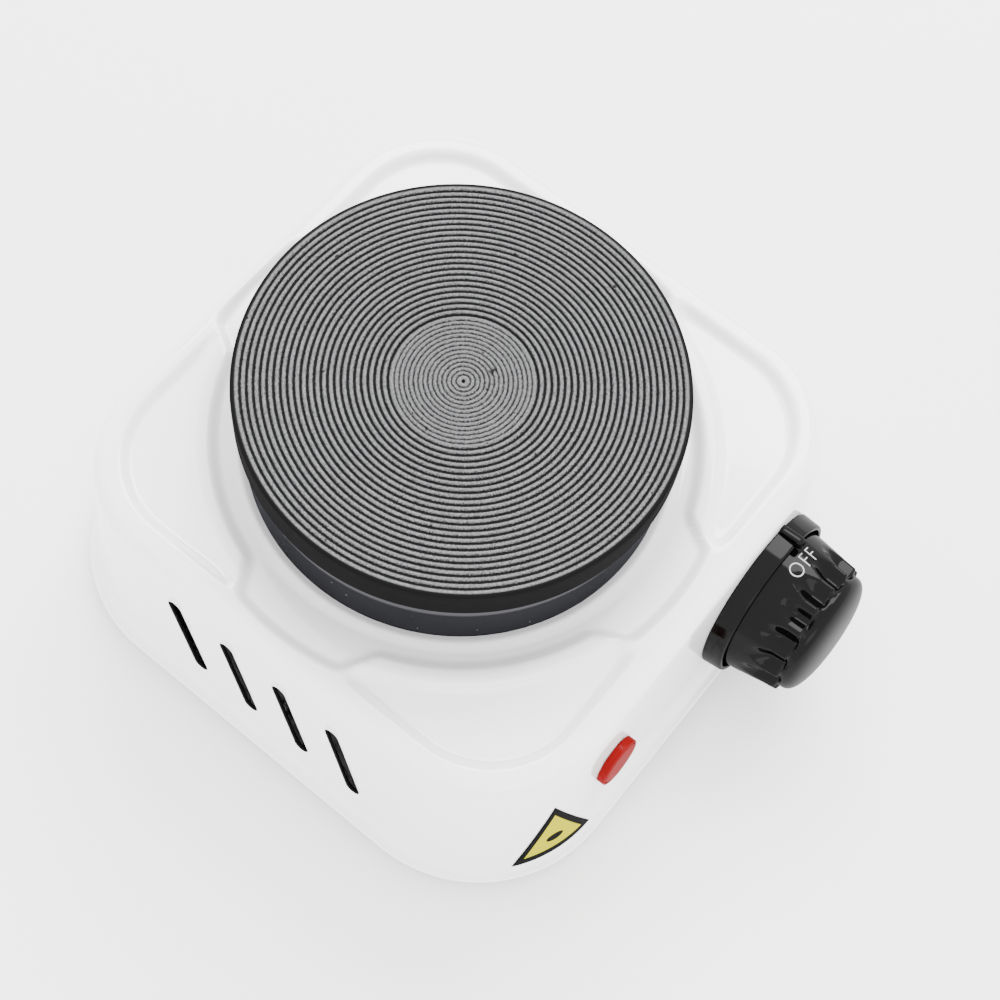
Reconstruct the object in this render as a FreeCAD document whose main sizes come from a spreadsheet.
import FreeCAD, Part
import math
import os

import Sketcher
from FreeCAD import Placement, Rotation, Vector

# A small electric hot plate: a cast-iron plate on a pressed steel housing, with a thermostat knob
# and a lamp on the front wall (-Y) and a cord entry in the rear wall (+Y).
# The housing is drawn about its own centre; every piece is then moved by the same step along +Y,
# so that the origin is under the middle of the whole object, on the surface it stands on.

os.makedirs("parts", exist_ok=True)
doc = FreeCAD.newDocument("hot_plate")

SIZES = {
    # pressed housing
    "rim_height": 56.0,
    "rim_half": 67.5,
    "rim_corner": 29.0,
    "base_height": 4.0,
    "base_half": 72.965,
    "base_corner": 34.465,
    "edge_fillet": 4.5,
    "sheet_thick": 1.0,
    "flange_half": 75.0,
    "flange_corner": 36.5,
    "flange_thick": 1.2,
    "dish_radius": 57.0,
    "dish_depth": 2.0,
    "deck_hole": 44.0,
    "pad_inset": 5.4,
    "pad_arc": 59.0,
    "pad_tip": 15.0,
    "pad_depth": 1.8,
    "slot_width": 4.0,
    "slot_rise": 24.0,
    "slot_lean": 9.0,
    "slot_pitch": 15.5,
    "slot_height": 30.0,
    # hob plate and what is under it
    "plate_top": 82.0,
    "plate_radius": 50.0,
    "plate_edge": 9.0,
    "plate_axis": 2.0,
    "groove_depth": 0.45,
    "groove_width": 0.7,
    "fine_pitch": 1.025,
    "fine_count": 14,
    "coarse_first": 16.215,
    "coarse_pitch": 1.435,
    "coarse_count": 23,
    "skirt_radius": 46.5,
    "skirt_wall": 4.0,
    "boss_radius": 8.0,
    "stud_radius": 2.5,
    "trim_radius": 48.5,
    "trim_wall": 0.8,
    "trim_bead": 0.6,
    "cover_thick": 0.8,
    "coil_wire": 1.4,
    "bridge_width": 18.0,
    "bridge_half": 50.0,
    "bridge_thick": 1.5,
    # underside
    "cover_half": 71.0,
    "cover_corner": 32.5,
    "foot_radius": 7.0,
    "foot_place": 52.0,
    "screw_radius": 1.5,
    "screw_head": 3.0,
    # knob stack, measured outwards from the front wall
    "draft_angle": 6.0,
    "knob_side": 24.5,
    "knob_height": 30.0,
    "bezel_radius": 21.0,
    "bezel_deep": 5.0,
    "bezel_bore": 9.5,
    "index_angle": 70.0,
    "knob_foot": 19.0,
    "knob_waist": 17.2,
    "knob_cap": 15.6,
    "knob_gap": 1.4,
    "knob_reach": 23.0,
    "knob_dome": 3.6,
    "flute_count": 16,
    "flute_radius": 2.3,
    "spindle_radius": 3.0,
    "spindle_gap": 0.05,
    "bush_radius": 4.8,
    # lamp
    "lamp_side": -31.0,
    "lamp_height": 33.0,
    "lamp_radius": 6.2,
    "lamp_proud": 2.2,
    "lamp_body": 4.7,
    # cord entry
    "gland_side": 26.0,
    "gland_height": 22.0,
    "gland_bore": 3.4,
    "gland_flange": 8.0,
    "gland_proud": 2.5,
    "wire_radius": 0.9,
}

sheet = doc.addObject("Spreadsheet::Sheet", "Sizes")
for row, (word, number) in enumerate(SIZES.items(), start=1):
    sheet.set(f"A{row}", word)
    sheet.set(f"B{row}", str(number))
    sheet.setAlias(f"B{row}", word)
doc.recompute()

# short names that the rest of the file uses
S = "Sizes."
ALONG_X = Rotation(Vector(0, 1, 0), 90)
# an edge counts as lying at a height when it is this near to it
EDGE_MATCH = 0.01
# how far a zone or a cutting tool reaches past the piece, where only its own face matters
SPARE = 5.0
# the element's two pins, across and along from the plate's axis
TERMINAL_SIDES = (-25.0, -19.0)
TERMINAL_PLACE = 14.0

pieces = {}


def val(expression):
    """The value of an expression on the sheet's sizes."""
    if isinstance(expression, (int, float)):
        return float(expression)
    return float(sheet.evalExpression(expression))


def size(word):
    return float(sheet.get(word))


DRAFT = math.radians(size("draft_angle"))


def wall_at(height):
    """How far the outside of a side wall stands from the middle, at a height."""
    return size("rim_half") + (size("rim_height") - height) * math.tan(DRAFT)


KNOB_TIP = (wall_at(size("knob_height")) + (size("knob_reach") - size("knob_dome")) * math.cos(DRAFT)
            + (size("knob_cap") - size("knob_dome")) * math.sin(DRAFT) + size("knob_dome"))
SHIFT = Vector(0, (KNOB_TIP - size("flange_half")) / 2, 0)


def place(shift=Vector(0, 0, 0), turn=Rotation()):
    """A placement in the housing's own frame, moved to the object's origin."""
    return Placement(shift + SHIFT, turn)


def on_front(side, height, out=0.0):
    """Local +Z points squarely out of the front wall, local +X is world +X."""
    normal = Vector(0, -math.cos(DRAFT), math.sin(DRAFT))
    turn = Rotation(Vector(1, 0, 0), Vector(0, math.sin(DRAFT), math.cos(DRAFT)), normal, "XZY")
    return place(Vector(side, -wall_at(height), height) + normal * out, turn)


def on_rear(side, height, out=0.0):
    """Local +Z points squarely out of the rear wall, local +X is world -X."""
    normal = Vector(0, math.cos(DRAFT), math.sin(DRAFT))
    turn = Rotation(Vector(-1, 0, 0), Vector(0, -math.sin(DRAFT), math.cos(DRAFT)), normal, "XZY")
    return place(Vector(side, wall_at(height), height) + normal * out, turn)


def keep(piece, name, placement=None):
    """Name a finished piece and put it in its place."""
    piece.Label = name
    piece.Placement = (placement or place()) * piece.Placement
    pieces[name] = piece
    return piece


def body_named(name):
    return doc.addObject("PartDesign::Body", name + "_body")


def sketch_on(body, name, plane, lift="0"):
    """A sketch on one of the body's own planes, lifted along the plane's normal."""
    sketch = body.newObject("Sketcher::SketchObject", name)
    origin_plane = next(f for f in body.Origin.OriginFeatures if f.Role == plane)
    sketch.AttachmentSupport = [(origin_plane, "")]
    sketch.MapMode = "FlatFace"
    sketch.AttachmentOffset = Placement(Vector(0, 0, val(lift)), Rotation())
    sketch.setExpression("AttachmentOffset.Base.z", str(lift))
    return sketch


def pin_point(sketch, edge, end, across, up):
    """Tie one end of an edge to the sketch's origin by two sizes."""
    for kind, axis, expression in (("DistanceX", -2, across), ("DistanceY", -1, up)):
        if abs(val(expression)) < 1e-9:
            sketch.addConstraint(Sketcher.Constraint("PointOnObject", edge, end, axis))
            continue
        number = sketch.addConstraint(Sketcher.Constraint(kind, -1, 1, edge, end, val(expression)))
        sketch.setExpression(f"Constraints[{number}]", str(expression))


def outline(sketch, points):
    """A closed outline of straight lines through points given as pairs of expressions."""
    first = sketch.GeometryCount
    spots = [Vector(val(across), val(up), 0) for across, up in points]
    count = len(points)
    for index in range(count):
        sketch.addGeometry(Part.LineSegment(spots[index], spots[(index + 1) % count]), False)
    for index in range(count):
        after = first + (index + 1) % count
        sketch.addConstraint(Sketcher.Constraint("Coincident", first + index, 2, after, 1))
    for index, (across, up) in enumerate(points):
        pin_point(sketch, first + index, 1, across, up)


def circle(sketch, radius, across="0", up="0"):
    spot = Vector(val(across), val(up), 0)
    edge = sketch.addGeometry(Part.Circle(spot, Vector(0, 0, 1), val(radius)), False)
    number = sketch.addConstraint(Sketcher.Constraint("Radius", edge, val(radius)))
    sketch.setExpression(f"Constraints[{number}]", str(radius))
    pin_point(sketch, edge, 3, across, up)


def rounded_square(sketch, half, corner):
    """A square about the origin with round corners: four arcs joined by four tangent lines."""
    reach = val(half)
    bend = val(corner)
    middle = reach - bend
    for quarter in range(4):
        turn = Rotation(Vector(0, 0, 1), 90 * quarter)
        centre = turn.multVec(Vector(middle, middle, 0))
        start = math.pi / 2 * quarter
        arc = Part.ArcOfCircle(Part.Circle(centre, Vector(0, 0, 1), bend), start, start + math.pi / 2)
        sketch.addGeometry(arc, False)
    for quarter in range(4):
        turn = Rotation(Vector(0, 0, 1), 90 * quarter)
        start = turn.multVec(Vector(middle, reach, 0))
        end = turn.multVec(Vector(-middle, reach, 0))
        sketch.addGeometry(Part.LineSegment(start, end), False)
    for quarter in range(4):
        side = 4 + quarter
        after = (quarter + 1) % 4
        sketch.addConstraint(Sketcher.Constraint("Tangent", quarter, 2, side, 1))
        sketch.addConstraint(Sketcher.Constraint("Tangent", side, 2, after, 1))
    sketch.addConstraint(Sketcher.Constraint("Horizontal", 4))
    sketch.addConstraint(Sketcher.Constraint("Vertical", 5))
    sketch.addConstraint(Sketcher.Constraint("Equal", 0, 1))
    sketch.addConstraint(Sketcher.Constraint("Equal", 0, 2))
    number = sketch.addConstraint(Sketcher.Constraint("Radius", 0, bend))
    sketch.setExpression(f"Constraints[{number}]", corner)
    pin_point(sketch, 4, 1, f"{half} - {corner}", half)
    pin_point(sketch, 6, 1, f"{corner} - {half}", f"-({half})")


def feature(body, kind, name, profile, **settings):
    """A PartDesign feature on a profile; text settings are expressions on the sheet."""
    made = body.newObject("PartDesign::" + kind, name)
    made.Profile = profile
    for word, setting in settings.items():
        if isinstance(setting, str) and "Sizes" in setting:
            made.setExpression(word, setting)
        else:
            setattr(made, word, setting)
    return made


def turned(name, points):
    """A body turned about its local Z axis from an outline of radius and height."""
    body = body_named(name)
    sketch = sketch_on(body, name + "_profile", "XZ_Plane")
    outline(sketch, points)
    revolution = body.newObject("PartDesign::Revolution", name + "_turned")
    revolution.Profile = sketch
    revolution.ReferenceAxis = (sketch, ["V_Axis"])
    revolution.Angle = 360.0
    return body


def revolved(name, points, placement=None):
    """A finished piece that is turned all round."""
    return keep(turned(name, points), name, placement)


def ring_points(inner, outer, low, high):
    return [(inner, low), (outer, low), (outer, high), (inner, high)]


def primitive(kind, name, at=Vector(0, 0, 0), turn=Rotation(), **expressions):
    """A Part primitive whose sizes are expressions."""
    made = doc.addObject("Part::" + kind, name)
    for word, expression in expressions.items():
        made.setExpression(word, str(expression))
    made.Placement = Placement(at, turn)
    return made


def block(name, low, length, width, height):
    """A box from its lowest corner."""
    return primitive("Box", name, Vector(*low), Length=length, Width=width, Height=height)


def rod(name, at, radius, height, turn=Rotation()):
    return primitive("Cylinder", name, Vector(*at), turn, Radius=radius, Height=height)


def minus(name, base, *tools):
    """A piece with one or more tools cut away."""
    for index, tool in enumerate(tools):
        cut = doc.addObject("Part::Cut", f"{name}_cut_{index}")
        cut.Base = base
        cut.Tool = tool
        base = cut
    return base


def group(name, members):
    """Separate solids, or touching ones that become one, under one name."""
    joined = doc.addObject("Part::MultiFuse", name + "_joined")
    joined.Shapes = members
    return joined


def fillet_at(body, name, height, radius):
    """A fillet on every edge of the body whose lowest point is at that height."""
    base = body.Tip
    edges = [f"Edge{number}" for number, edge in enumerate(base.Shape.Edges, start=1)
             if abs(edge.BoundBox.ZMin - val(height)) < EDGE_MATCH]
    fillet = body.newObject("PartDesign::Fillet", name)
    fillet.Base = (base, edges)
    fillet.setExpression("Radius", radius)
    body.Tip = fillet


def rounded_prism(name, half, corner, low, high):
    """An upright prism on a square with round corners."""
    body = body_named(name)
    sketch = sketch_on(body, name + "_square", "XY_Plane", low)
    rounded_square(sketch, half, corner)
    feature(body, "Pad", name + "_pad", sketch, Length=f"{high} - ({low})")
    return body


def drafted_block(name, half, corner, low, high):
    """A block that stands on a rounded square and leans in by the draft angle as it rises."""
    body = body_named(name)
    sketch = sketch_on(body, name + "_square", "XY_Plane", low)
    rounded_square(sketch, half, corner)
    feature(body, "Pad", name + "_pad", sketch, Length=f"{high} - ({low})", TaperAngle=f"-{S}draft_angle")
    doc.recompute()
    return body


def corner_pads(name, inset, arc, tip, low, high):
    """Four corner blocks: a rounded square less a disc about the plate and a cross between them."""
    square = rounded_prism(name + "_square", f"({S}rim_half - {S}pad_inset - ({inset}))",
                           f"({S}rim_corner - {S}pad_inset - ({inset}))", low, high)
    tall = f"{high} - ({low}) + 2"
    floor = val(low) - 1
    disc = rod(name + "_disc", (0, size("plate_axis"), floor), arc, tall)
    reach = 2 * size("rim_half")
    strip = val(tip)
    across = block(name + "_across", (-reach / 2, -strip, floor), f"2 * {S}rim_half", f"2 * ({tip})", tall)
    along = block(name + "_along", (-strip, -reach / 2, floor), f"2 * ({tip})", f"2 * {S}rim_half", tall)
    return minus(name, square, disc, across, along)


def make_housing():
    """Pressed and enamelled sheet: drafted walls, a rolled top edge, a foot flange, four corner
    recesses, a dished middle with the plate's hole, slots in both sides and three wall holes."""
    thick = f"{S}sheet_thick"
    outside = drafted_block("housing_outside", f"{S}base_half", f"{S}base_corner",
                            f"{S}base_height", f"{S}rim_height")
    fillet_at(outside, "housing_edge", f"{S}rim_height", f"{S}edge_fillet")
    inside = drafted_block("housing_inside", f"({S}base_half - {thick})", f"({S}base_corner - {thick})",
                           f"{S}base_height", f"{S}rim_height - {thick}")
    fillet_at(inside, "housing_inner_edge", f"{S}rim_height - {thick}", f"{S}edge_fillet - {thick}")
    flange = rounded_prism("housing_flange", f"{S}flange_half", f"{S}flange_corner",
                           f"{S}base_height", f"{S}base_height + {S}flange_thick")
    walls = minus("housing_walls", group("housing_outer", [outside, flange]), inside)

    under = f"{S}rim_height - {thick}"
    pad_back = corner_pads("pad_backs", f"-{thick}", f"{S}pad_arc - {thick}", f"{S}pad_tip - {thick}",
                           f"{under} - {S}pad_depth", under)
    dish_back = rod("dish_back", (0, size("plate_axis"), val(f"{under} - {S}dish_depth")),
                    f"{S}dish_radius + {thick}", f"{S}dish_depth")
    shell = group("housing_shell", [walls, pad_back, dish_back])

    pads = corner_pads("pads", "0", f"{S}pad_arc", f"{S}pad_tip",
                       f"{S}rim_height - {S}pad_depth", f"{S}rim_height + 1")
    dish = rod("dish", (0, size("plate_axis"), val(f"{S}rim_height - {S}dish_depth")),
               f"{S}dish_radius", f"{S}dish_depth + 1")
    hole = rod("deck_hole", (0, size("plate_axis"), size("rim_height") - 10), f"{S}deck_hole", 20)
    tools = [pads, dish, hole]
    tools += wall_slots()
    tools.append(wall_hole("spindle_hole", on_front, "knob", f"{S}bush_radius + 0.1"))
    tools.append(wall_hole("lamp_hole", on_front, "lamp", f"{S}lamp_body + 0.1"))
    tools.append(wall_hole("gland_hole", on_rear, "gland", f"{S}gland_flange - 1.6"))
    split_pressing(minus("pressing", shell, *tools))


def split_pressing(pressing):
    """The housing is one pressing. It is kept as a deck, four walls and four corners that meet
    face to face, because each of these is a simple shape for other things to collide with."""
    flat = f"({S}rim_half - {S}rim_corner)"
    side = f"({S}flange_half + {SPARE} - {flat})"
    seam = f"({S}rim_height - {S}edge_fillet)"
    near = val(flat)
    far = val(f"{S}flange_half + {SPARE}")
    zones = {"housing_deck": block("deck_zone", (-far, -far, val(seam)), 2 * far, 2 * far, f"{S}rim_height")}
    for word, low in (("front", (-near, -far, 0)), ("rear", (-near, near, 0))):
        zones["housing_" + word] = block(word + "_zone", low, f"2 * {flat}", side, seam)
    for word, low in (("left", (-far, -near, 0)), ("right", (near, -near, 0))):
        zones["housing_" + word] = block(word + "_zone", low, side, f"2 * {flat}", seam)
    for end, along in (("front", -far), ("rear", near)):
        for hand, across in (("left", -far), ("right", near)):
            word = f"corner_{end}_{hand}"
            zones["housing_" + word] = block(word + "_zone", (across, along, 0), side, side, seam)
    for name, zone in zones.items():
        share = doc.addObject("Part::Common", name + "_share")
        share.Base = pressing
        share.Tool = zone
        keep(share, name)


def wall_hole(name, side_frame, word, radius):
    """A round hole squarely through a wall, where a piece of the same word sits."""
    tool = rod(name, (0, 0, 0), radius, 12)
    spot = side_frame(size(word + "_side"), size(word + "_height"), -6)
    tool.Placement = Placement(spot.Base - SHIFT, spot.Rotation)
    return tool


def wall_slots():
    """Four slanted air slots with round ends in each of the two side walls."""
    slots = []
    lean = math.degrees(math.atan2(size("slot_lean"), size("slot_rise")))
    long = math.hypot(size("slot_lean"), size("slot_rise")) - size("slot_width")
    for side in (-1, 1):
        for place_number in range(4):
            along = (place_number - 1.5) * size("slot_pitch")
            name = f"slot_{'right' if side > 0 else 'left'}_{place_number}"
            bar = block(name + "_bar", (-10, -size("slot_width") / 2, -long / 2), 20,
                        f"{S}slot_width", long)
            ends = [rod(f"{name}_end_{number}", (-10, 0, end), f"{S}slot_width / 2", 20, ALONG_X)
                    for number, end in enumerate((-long / 2, long / 2))]
            slot = group(name, [bar, *ends])
            slot.Placement = Placement(
                Vector(side * wall_at(size("slot_height")), along, size("slot_height")),
                Rotation(Vector(1, 0, 0), -lean))
            slots.append(slot)
    return slots


def groove_outline():
    """Radius and height of the plate's top, from the rim inwards, with its two zones of grooves."""
    top = size("plate_top")
    half = size("groove_width") / 2
    radii = [size("coarse_first") + number * size("coarse_pitch")
             for number in range(int(size("coarse_count")))]
    radii += [(number + 1.5) * size("fine_pitch") for number in range(int(size("fine_count")))]
    points = []
    for radius in sorted(radii, reverse=True):
        points.append((radius + half, top))
        points.append((radius, top - size("groove_depth")))
        points.append((radius - half, top))
    return points


def make_hob_plate():
    """Cast iron: a grooved top, a deep rim, a skirt that stands inside the trim ring, and a boss
    for the stud."""
    top = size("plate_top")
    rim = size("plate_radius")
    low = top - size("plate_edge")
    skirt = size("skirt_radius")
    inner = skirt - size("skirt_wall")
    boss = size("boss_radius")
    points = [(rim - 0.8, top)] + groove_outline() + [(0, top)]
    points += [(0, top - 5), (size("stud_radius"), top - 5), (size("stud_radius"), low - 3)]
    points += [(boss, low - 3), (boss, top - 6), (inner, top - 6), (inner, low - 4)]
    points += [(skirt, low - 4), (skirt, low), (rim - 0.6, low), (rim, low + 0.6), (rim, top - 0.8)]
    spots = [Vector(radius, 0, height) for radius, height in points]
    face = Part.Face(Part.makePolygon(spots + spots[:1]))
    plate = doc.addObject("Part::Feature", "hob_plate_casting")
    plate.Shape = face.revolve(Vector(0, 0, 0), Vector(0, 0, 1), 360)
    keep(plate, "hob_plate", on_axis())


def on_axis(height=0.0):
    """Local Z is the plate's axis."""
    return place(Vector(0, size("plate_axis"), height))


def make_element():
    """Everything that hangs on the plate's stud, from the trim ring down to the lower nut."""
    low = f"({S}plate_top - {S}plate_edge)"
    deck = f"({S}rim_height - {S}dish_depth)"
    skirt = f"({S}skirt_radius - {S}skirt_wall)"
    outer = f"{S}trim_radius"
    inner = f"{outer} - {S}trim_wall"
    bead = f"{outer} + {S}trim_bead"
    revolved("trim_ring", [
        (f"{S}deck_hole + 1.5", deck), (outer, deck), (outer, f"{low} - 5"), (bead, f"{low} - 4.4"),
        (bead, f"{low} - 3.6"), (outer, f"{low} - 3"), (outer, low), (f"{S}skirt_radius + 0.2", low),
        (f"{S}skirt_radius + 0.2", f"{low} - 0.7"), (inner, f"{low} - 0.7"), (inner, f"{deck} + 0.8"),
        (f"{S}deck_hole + 1.5", f"{deck} + 0.8")], on_axis())

    coils = (14.0, 23.0, 32.0)
    filling = revolved("element_filling", ring_points(
        f"{S}boss_radius + 0.1", f"{skirt} - 0.1", f"{low} - 3", f"{S}plate_top - 6.1"), on_axis())
    doc.recompute()
    channels = sketch_on(filling, "coil_channels", "XY_Plane", f"{low} - 3")
    for radius in coils:
        circle(channels, f"{radius} + {S}coil_wire + 0.2")
        circle(channels, f"{radius} - {S}coil_wire - 0.2")
    feature(filling, "Pocket", "coil_channel_cut", channels, Length=f"2 * {S}coil_wire + 0.4", Reversed=True)

    wires = []
    for number, radius in enumerate(coils):
        ring = primitive("Torus", f"coil_turn_{number}", Radius1=radius, Radius2=f"{S}coil_wire")
        ring.Placement = Placement(Vector(0, 0, val(f"{low} - 3 + {S}coil_wire + 0.1")), Rotation())
        wires.append(ring)
    for number, side in enumerate(TERMINAL_SIDES):
        wires.append(rod(f"coil_pin_{number}", (side, TERMINAL_PLACE, val(f"{low} - 18")), 1.2, 5.2))
    keep(group("heating_coil", wires), "heating_coil", on_axis())

    cover = rod("element_cover_disc", (0, 0, val(f"{low} - 4 - {S}cover_thick")),
                f"{S}skirt_radius - 0.3", f"{S}cover_thick")
    cover_bore = rod("element_cover_bore", (0, 0, val(f"{low} - 6")), f"{S}stud_radius + 0.2", 4)
    keep(minus("element_cover", cover, cover_bore), "element_cover", on_axis())
    block_low = (TERMINAL_SIDES[0] - 6, TERMINAL_PLACE - 6, val(f"{low} - 12.8"))
    keep(block("element_terminal_block", block_low, 18, 12, 8), "element_terminal_block", on_axis())

    keep(rod("plate_stud", (0, 0, val(f"{low} - 29")), f"{S}stud_radius", 33), "plate_stud", on_axis())
    for name, height in (("upper_stud_nut", f"{low} - 8.8"), ("lower_stud_nut", f"{low} - 26.5")):
        keep(hex_nut(name, height, 4.0, 4.0, f"{S}stud_radius"), name, on_axis())
    revolved("stud_washer", ring_points(f"{S}stud_radius + 0.1", "6.0", f"{low} - 22.5", f"{low} - 21.5"),
             on_axis())

    bridge_top = val(f"{deck} - {S}sheet_thick")
    bridge = block("bridge_strap", (-size("bridge_half"), -size("bridge_width") / 2,
                                    bridge_top - size("bridge_thick")),
                   f"2 * {S}bridge_half", f"{S}bridge_width", f"{S}bridge_thick")
    bridge_bore = rod("bridge_bore", (0, 0, bridge_top - 4), f"{S}stud_radius + 0.1", 8)
    keep(minus("hold_down_bridge", bridge, bridge_bore), "hold_down_bridge", on_axis())

    shield = rod("heat_shield_disc", (0, 0, bridge_top), f"{S}deck_hole - 1", 0.6)
    shield_bore = rod("heat_shield_bore", (0, 0, bridge_top - 1), f"{S}stud_radius + 0.2", 3)
    wire_way = block("heat_shield_way", (TERMINAL_SIDES[0] - 3, TERMINAL_PLACE - 3, bridge_top - 1), 12, 6, 3)
    keep(minus("heat_shield", shield, shield_bore, wire_way), "heat_shield", on_axis())

    fuse_height = val(f"{low} - 6.8")
    keep(rod("thermal_fuse", (16, 12, fuse_height), 2, 14, ALONG_X), "thermal_fuse", on_axis())
    strap = [block("strap_floor", (20, 7, fuse_height - 2.6), 6, 10, 0.6)]
    for number, edge in enumerate((7, 16.2)):
        strap.append(block(f"strap_leg_{number}", (20, edge, fuse_height - 2.0), 6, 0.8, 4.0))
    keep(group("fuse_strap", strap), "fuse_strap", on_axis())


def hex_nut(name, height, half_flats, thick, bore):
    """A hexagonal nut about local Z."""
    nut = doc.addObject("Part::Prism", name + "_hexagon")
    nut.Polygon = 6
    nut.Circumradius = half_flats / math.cos(math.radians(30))
    nut.Height = thick
    nut.Placement = Placement(Vector(0, 0, val(height)), Rotation())
    hole = rod(name + "_hole", (0, 0, val(height) - 1), bore, thick + 2)
    return minus(name, nut, hole)


def make_underside():
    """The slotted bottom cover, its feet, its screws and the brackets they go into."""
    low = val(f"{S}base_height + 0.4")
    plate = rounded_prism("cover_plate", f"{S}cover_half", f"{S}cover_corner",
                          f"{S}base_height + 0.4", f"{S}base_height + 1.4")
    cuts = [rod(f"foot_hole_{number}", (across, along, low - 1), 3, 4)
            for number, (across, along) in enumerate(foot_spots())]
    cuts += [rod(f"screw_hole_{number}", (across, along, low - 1), f"{S}screw_radius", 4)
             for number, (across, along) in enumerate(screw_spots())]
    cuts += [block(f"cover_vent_{number}", (-20, -30 + 10 * number, low - 1), 40, 3.5, 4)
             for number in range(6)]
    keep(minus("bottom_cover", plate, *cuts), "bottom_cover")

    for name, (across, along) in zip(("front_left", "front_right", "rear_left", "rear_right"), foot_spots()):
        revolved("foot_" + name, [
            (0, 0), (f"{S}foot_radius - 0.8", 0), (f"{S}foot_radius", 0.8), (f"{S}foot_radius", low),
            (3, low), (3, low + 1), (4, low + 1), (3.2, low + 3), (0, low + 3)],
            place(Vector(across, along, 0)))

    screws = []
    brackets = []
    for number, (across, along) in enumerate(screw_spots()):
        head = rod(f"cover_screw_head_{number}", (across, along, low - 1.6), f"{S}screw_head", 1.6)
        shank = rod(f"cover_screw_shank_{number}", (across, along, low), f"{S}screw_radius", 7)
        screws += [head, shank]
        tab = block(f"bracket_tab_{number}", (-6, -6, low + 1), 12, 10.6, 1.5)
        upright = block(f"bracket_upright_{number}", (-6, 3.2, low + 2.5), 12, 1.2, 8)
        thread = rod(f"bracket_thread_{number}", (0, 0, low), f"{S}screw_radius", 5)
        bracket = minus(f"bracket_{number}", group(f"bracket_{number}", [tab, upright]), thread)
        quarter = math.degrees(math.atan2(along, across)) - 90
        bracket.Placement = Placement(Vector(across, along, 0), Rotation(Vector(0, 0, 1), quarter))
        brackets.append(bracket)
    keep(group("cover_screws", screws), "cover_screws")
    keep(group("cover_brackets", brackets), "cover_brackets")


def foot_spots():
    reach = size("foot_place")
    return [(-reach, -reach), (reach, -reach), (-reach, reach), (reach, reach)]


def screw_spots():
    reach = size("cover_half") - 6.0
    return [(-reach, 0), (reach, 0), (0, reach), (-2.0, -reach)]


def make_knob():
    """The black knob, the ring round it, and the spindle, bush and nut that carry it."""
    spot = on_front(size("knob_side"), size("knob_height"))
    gap = size("knob_gap")
    cap_low = "17.4"
    knob = turned("control_knob", [
        (0, 5.2), (7, 5.2), (7, 13), (13.6, 13), (16, f"{gap}"), (f"{S}knob_foot", f"{gap}"),
        (f"{S}knob_foot", 5.6), (f"{S}knob_waist + 0.6", 8), (f"{S}knob_waist", cap_low),
        (f"{S}knob_cap", f"{cap_low} + 0.6"), (f"{S}knob_cap", f"{S}knob_reach"),
        (0, f"{S}knob_reach")])
    doc.recompute()
    fillet_at(knob, "knob_cap_edge", f"{S}knob_reach", f"{S}knob_dome")
    doc.recompute()
    solid_volume = knob.Shape.Volume
    flute = sketch_on(knob, "flute_circle", "XY_Plane", 8.4)
    circle(flute, f"{S}flute_radius", f"{S}knob_waist + {S}flute_radius - 1.3", "0")
    pocket = feature(knob, "Pocket", "flute_cut", flute, Length=9.6, Reversed=True)
    doc.recompute()
    flutes = knob.newObject("PartDesign::PolarPattern", "flutes")
    flutes.Originals = [pocket]
    flutes.Axis = (flute, ["N_Axis"])
    flutes.Angle = 360
    flutes.setExpression("Occurrences", f"{S}flute_count")
    knob.Tip = flutes
    doc.recompute()
    if solid_volume - knob.Shape.Volume < 200:
        raise RuntimeError("the flutes cut nothing")
    bore = rod("knob_bore", (0, 0, 4), f"{S}spindle_radius", 13)
    flat = block("knob_flat", (2.3, -4, 4), 3, 8, 13)
    shaped = minus("knob_bore", bore, flat)
    keep(minus("control_knob", knob, shaped), "control_knob", spot)

    shaft = rod("spindle_rod", (0, 0, -5.4), f"{S}spindle_radius", 22)
    shaft_flat = block("spindle_flat", (1.8, -4, 5.2), 3, 8, 14)
    keep(minus("thermostat_spindle", shaft, shaft_flat), "thermostat_spindle", spot)
    keep(block("knob_spring_clip", (1.85, -1.6, 6.2), 0.4, 3.2, 10), "knob_spring_clip", spot)

    bore_radius = f"{S}spindle_radius + {S}spindle_gap"
    revolved("spindle_bush", [
        (bore_radius, -3.4), (6.4, -3.4), (6.4, -2.2), (f"{S}bush_radius", -2.2),
        (f"{S}bush_radius", 4.6), (bore_radius, 4.6)], spot)
    keep(hex_nut("bush_nut", "0.05", 6.5, 2.4, f"{S}bush_radius"), "bush_nut", spot)

    ring = turned("bezel_ring", [
        (f"{S}bezel_bore", 0), (f"{S}bezel_radius", 0), (f"{S}bezel_radius - 0.4", f"{S}bezel_deep"),
        (f"{S}knob_foot + 0.5", f"{S}bezel_deep"), (f"{S}knob_foot + 0.5", 1.0),
        (f"{S}bezel_bore", 1.0)])
    mark = block("index_mark", (size("knob_foot") + 0.6, -1.3, 0), 2.6, 2.6, 6.4)
    mark.Placement = Placement(Vector(0, 0, 0), Rotation(Vector(0, 0, 1), size("index_angle"))) * mark.Placement
    keep(group("knob_bezel", [ring, mark]), "knob_bezel", spot)


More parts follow.
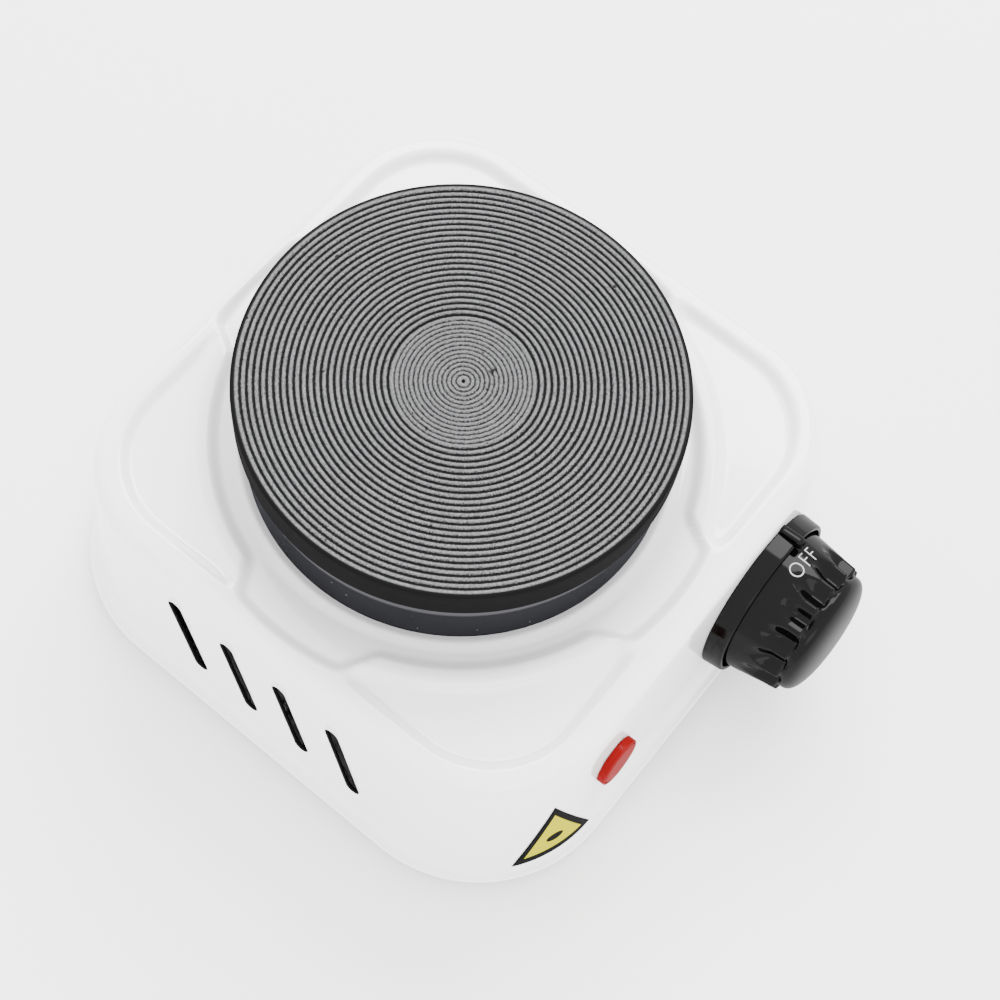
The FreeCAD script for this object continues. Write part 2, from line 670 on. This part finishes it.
def make_thermostat():
    """The switch behind the knob: a bracket, a stack of ceramic discs on a rivet, and three
    blades, of which the middle one is pushed by the spindle."""
    spot = on_front(size("knob_side"), size("knob_height"))
    stack = -11.0
    plate = block("thermostat_plate", (-17, -10, -2.2), 30, 20, 1.15)
    plate_hole = rod("thermostat_plate_hole", (0, 0, -4), f"{S}bush_radius", 4)
    keep(minus("thermostat_bracket", plate, plate_hole), "thermostat_bracket", spot)

    discs = []
    for number, (low, high) in enumerate(((-5.2, -2.2), (-9.7, -6.5), (-13.4, -10.2), (-16.0, -14.0))):
        disc = rod(f"disc_{number}", (stack, 0, low), 4.6, high - low)
        hole = rod(f"disc_hole_{number}", (stack, 0, low - 1), 1.5, high - low + 2)
        discs.append(minus(f"disc_{number}", disc, hole))
    keep(group("stack_insulators", discs), "stack_insulators", spot)
    rivet = [rod("rivet_shank", (stack, 0, -16), 1.5, 13.8), rod("rivet_head", (stack, 0, -17.2), 3, 1.2)]
    keep(group("stack_rivet", rivet), "stack_rivet", spot)

    blades = (("contact_arm", -6.1, 1.9, -7.3, 18), ("fixed_contact", -10.2, 1.5, -9.7, 21))
    for name, low, hole_radius, button_low, long in blades:
        blade = block(name + "_blade", (stack - 5, -2.5, low), long + 5, 5, 0.5)
        hole = rod(name + "_hole", (stack, 0, low - 1), hole_radius, 3)
        button = rod(name + "_button", (5.2, 0, button_low), 1.4, 1.2)
        keep(group(name, [minus(name + "_blade", blade, hole), button]), name, spot)
    strip = block("bimetal_strip", (stack - 5, -3, -14), 26, 6, 0.6)
    strip_hole = rod("bimetal_hole", (stack, 0, -15), 1.5, 3)
    keep(minus("bimetal_blade", strip, strip_hole), "bimetal_blade", spot)


def make_lamp():
    """A red lens pushed through the wall, its spring ring, the neon bulb and its holder."""
    spot = on_front(size("lamp_side"), size("lamp_height"))
    body = f"{S}lamp_body"
    revolved("lamp_lens", [
        (3.4, -9), (body, -9), (body, 0), (f"{S}lamp_radius", 0), (f"{S}lamp_radius", f"{S}lamp_proud - 0.4"),
        (f"{S}lamp_radius - 0.4", f"{S}lamp_proud"), (0, f"{S}lamp_proud"), (0, 0.9), (3.4, 0.9)], spot)
    revolved("lamp_clip", ring_points(f"{body} + 0.02", "8", -2.0, -1.05), spot)
    keep(rod("lamp_bulb", (0, 0, -9), 2.6, 8), "lamp_bulb", spot)
    keep(rod("lamp_holder", (0, 0, -15), 4.4, 5.95), "lamp_holder", spot)


def make_cord_entry():
    """The bush in the rear wall that a mains lead passes through."""
    neck = f"{S}gland_flange - 1.7"
    flange = f"{S}gland_flange"
    revolved("cord_gland", [
        (f"{S}gland_bore", -3.4), (flange, -3.4), (flange, -1.05), (neck, -1.05), (neck, 0), (flange, 0),
        (f"{flange} - 0.5", f"{S}gland_proud"), (f"{S}gland_bore", f"{S}gland_proud")],
        on_rear(size("gland_side"), size("gland_height")))


def make_terminals():
    """The mains terminal block on the bottom cover, its screws, and the earth tag and screw."""
    floor = val(f"{S}base_height + 1.4")
    keep(block("mains_terminal_block", (-24, 30, floor), 34, 14, 12), "mains_terminal_block")
    screws = [rod(f"terminal_screw_{number}", (-18 + 11 * number, 37, floor + 12), 2.2, 1.0)
              for number in range(3)]
    keep(group("terminal_screws", screws), "terminal_screws")
    tag = block("earth_tag_plate", (38, 24, floor), 8, 14, 0.8)
    tag_hole = rod("earth_tag_hole", (42, 28, floor - 1), f"{S}screw_radius", 3)
    keep(minus("earth_tag", tag, tag_hole), "earth_tag")
    screw = [rod("earth_screw_head", (42, 28, floor + 0.8), f"{S}screw_head", 1.8),
             rod("earth_screw_shank", (42, 28, floor), f"{S}screw_radius", 0.8)]
    keep(group("earth_screw", screw), "earth_screw")


def wire_along(points):
    """A round wire along straight runs joined by tangent arcs."""
    spots = [Vector(*point) for point in points]
    edges = []
    last = spots[0]
    for before, corner, after in zip(spots, spots[1:], spots[2:]):
        way_in = (before - corner).normalize()
        way_out = (after - corner).normalize()
        step = 0.42 * min(corner.distanceToPoint(before), corner.distanceToPoint(after))
        start = corner + way_in * step
        end = corner + way_out * step
        half_turn = way_in.getAngle(way_out) / 2
        to_centre = (way_in + way_out).normalize()
        radius = step * math.tan(half_turn)
        centre = corner + to_centre * (step / math.cos(half_turn))
        edges.append(Part.LineSegment(last, start).toShape())
        edges.append(Part.Arc(start, centre - to_centre * radius, end).toShape())
        last = end
    edges.append(Part.LineSegment(last, spots[-1]).toShape())
    path = Part.Wire(edges)
    round_edge = Part.Circle(spots[0], spots[1] - spots[0], size("wire_radius")).toShape()
    return path.makePipeShell([Part.Wire([round_edge])], True, True)


def make_wires():
    """Insulated wires from the terminal block to the switch, the element, the lamp and earth."""
    axis = size("plate_axis")
    rear = TERMINAL_PLACE + axis
    pin_low = val(f"{S}plate_top - {S}plate_edge - 18") - 0.05
    live, switched = TERMINAL_SIDES
    routes = {
        "wire_live": [[(5, 29.9, 12), (5, 20, 12), (6, -10, 12), (6, -40, 17), (6.2, -57.5, 27)]],
        "wire_switched": [[(13, -54.5, 37), (10, -44, 38), (-6, -26, 30), (-25, -12, 26),
                           (live, rear, 34), (live, rear, pin_low)]],
        "wire_neutral": [[(-7, 29.9, 12), (-7, 24, 12), (-14, 19, 16), (switched, rear, 27),
                          (switched, rear, pin_low)]],
        "wire_lamp": [
            [(-32.6, -53.5, 35.2), (-33, -44, 32), (-40, -20, 16), (-34, 14, 11), (-20, 24, 12), (-20, 29.9, 12)],
            [(-29.4, -53.5, 35.2), (-29, -44, 33), (-31, -20, 20), (-26, 8, 13), (-16, 22, 13), (-16, 29.9, 13)]],
        "wire_earth": [[(42, 33, 7.2), (42, 33, 14), (42, 22, 30), (42, axis + 4, 42), (42, axis + 4, 51.4)]],
    }
    for name, ways in routes.items():
        wire = doc.addObject("Part::Feature", name + "_run")
        wire.Shape = Part.Compound([wire_along(way) for way in ways])
        keep(wire, name)


make_housing()
make_hob_plate()
make_element()
make_underside()
make_knob()
make_thermostat()
make_lamp()
make_cord_entry()
make_terminals()
make_wires()
doc.recompute()

for thing in doc.Objects:
    if "Invalid" in thing.State or "Error" in thing.State:
        raise RuntimeError(f"{thing.Name} did not build: {thing.State}")
for name, piece in pieces.items():
    if piece.Shape.isNull() or not piece.Shape.isValid():
        raise RuntimeError(f"{name} has no sound shape")
    if not piece.Shape.Solids:
        raise RuntimeError(f"{name} has no solid")
for name, piece in pieces.items():
    piece.Shape.exportStep(f"parts/{name}.step")
print(len(pieces), "pieces")
